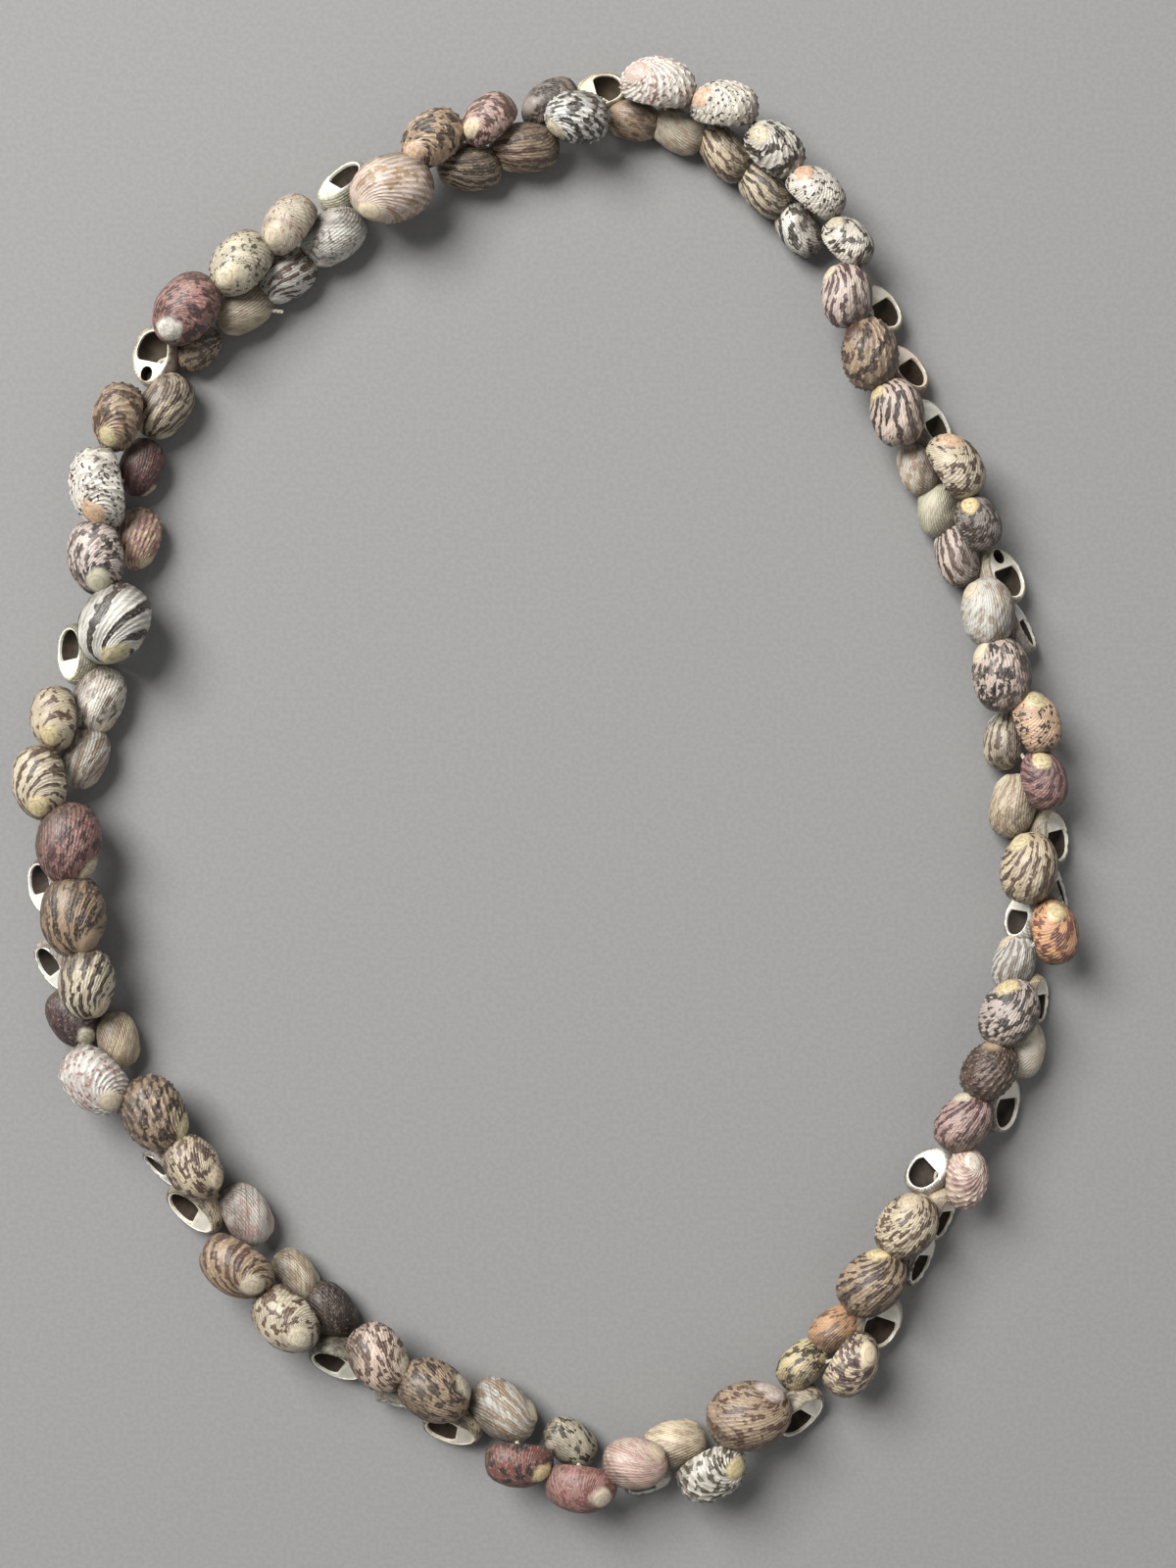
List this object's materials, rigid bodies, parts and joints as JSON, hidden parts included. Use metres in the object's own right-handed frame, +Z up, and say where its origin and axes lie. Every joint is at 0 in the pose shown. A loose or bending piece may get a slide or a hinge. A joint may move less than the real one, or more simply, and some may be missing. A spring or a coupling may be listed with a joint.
{
  "type": "snail shell necklace",
  "caption": "Long closed string of small drilled sea-snail shells, set to alternate sides of one knotted thread and laid flat in an oval loop.",
  "frame": {"origin": "on the surface that the string lies on, below the middle of the loop's box", "axes": "+X runs across the loop, +Y along its longer way, +Z up from the surface"},
  "size_m": [0.2756, 0.3769, 0.0216],
  "materials": {
    "shell": "natural snail shell in cream, tan, brown, purple and black bands and marks, dull outside and pearly at the mouth",
    "thread": "pale twisted thread"
  },
  "bodies": {
    "root": {"outer_shells": "shell", "inner_shells": "shell", "thread": "thread", "knot": "thread"}
  },
  "joints": []
}
